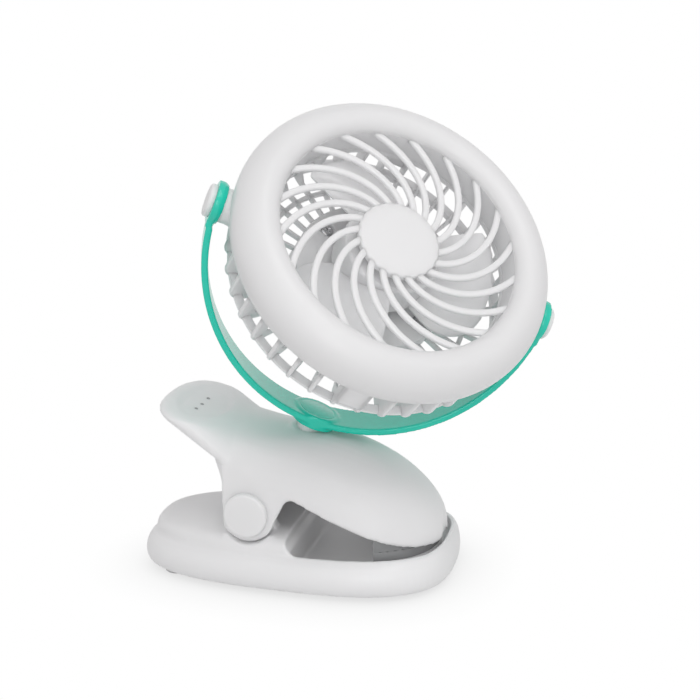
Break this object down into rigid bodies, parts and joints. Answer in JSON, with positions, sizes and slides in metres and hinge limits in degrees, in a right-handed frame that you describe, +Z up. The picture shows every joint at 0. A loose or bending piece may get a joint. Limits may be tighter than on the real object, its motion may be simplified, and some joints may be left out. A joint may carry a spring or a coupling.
{
  "type": "portable camping fan",
  "caption": "Rechargeable clip-on camping fan: white guarded fan head in a teal yoke that swivels on a spring-loaded clip with a flat base, rubber jaw pads and a thumb paddle.",
  "frame": {"origin": "centre of the base's underside, on the surface it stands on", "axes": "+X to the clip's right seen from behind, -Y towards the nose of the clip, +Z up"},
  "size_m": [0.1336, 0.1879, 0.2084],
  "materials": {
    "white_plastic": "satin white moulding",
    "grey_plastic": "matt light grey moulding",
    "dark_plastic": "matt black moulding",
    "teal_plastic": "gloss teal moulding",
    "soft_rubber": "matt grey rubber",
    "steel": "bright steel",
    "cell_sleeve": "shrink sleeve",
    "board": "coated laminate",
    "light_pipe": "clear light pipe"
  },
  "bodies": {
    "base": {"base_shell": "white_plastic", "base_plate": "grey_plastic", "base_feet": "soft_rubber", "base_screws": "steel", "base_clip_pad": "soft_rubber", "clip_pin": "steel", "clip_spring": "steel"},
    "jaw": {"upper_jaw": "white_plastic", "jaw_clip_pad": "soft_rubber", "pivot_cap_left": "white_plastic", "pivot_cap_right": "white_plastic", "swivel_neck": "grey_plastic", "swivel_washer": "steel", "swivel_screw": "steel"},
    "yoke": {"yoke": "teal_plastic", "swivel_plug": "teal_plastic", "yoke_cap_left": "white_plastic", "yoke_cap_right": "white_plastic"},
    "head": {"front_ring": "white_plastic", "front_grille": "white_plastic", "rear_housing": "white_plastic", "tilt_pin_left": "steel", "tilt_pin_right": "steel", "motor_can": "steel", "motor_end_cap": "dark_plastic", "pod_cover": "white_plastic", "pod_screws": "steel", "battery_cell": "cell_sleeve", "circuit_board": "board", "usb_socket": "steel", "charge_light": "light_pipe"},
    "impeller": {"impeller": "white_plastic", "motor_shaft": "steel"},
    "button": {"power_button": "grey_plastic"}
  },
  "joints": [
    {"name": "clip_open", "type": "hinge", "parent": "base", "child": "jaw", "pos_m": [0, 0.015, 0.034], "axis": [-1, 0, 0], "range_deg": [0, 28], "stiffness_Nm_per_rad": 2, "springref_deg": -28.65, "deforming": ["clip_spring"]},
    {"name": "yoke_swivel", "type": "hinge", "parent": "jaw", "child": "yoke", "pos_m": [0, -0.0427, 0.1409], "axis": [0, -0.4289, 0.9033], "range_deg": [-175, 175]},
    {"name": "head_tilt", "type": "hinge", "parent": "yoke", "child": "head", "pos_m": [0, -0.0427, 0.1409], "axis": [0.3502, -0.8461, -0.4018], "range_deg": [-90, 90]},
    {"name": "blade_spin", "type": "hinge", "parent": "head", "child": "impeller", "pos_m": [0, -0.0427, 0.1409], "axis": [-0.5663, -0.5329, 0.6287], "continuous": true},
    {"name": "button_press", "type": "slide", "parent": "head", "child": "button", "axis": [-0.5663, -0.5329, 0.6287], "range_m": [0, 0.0006], "stiffness_N_per_m": 500}
  ]
}
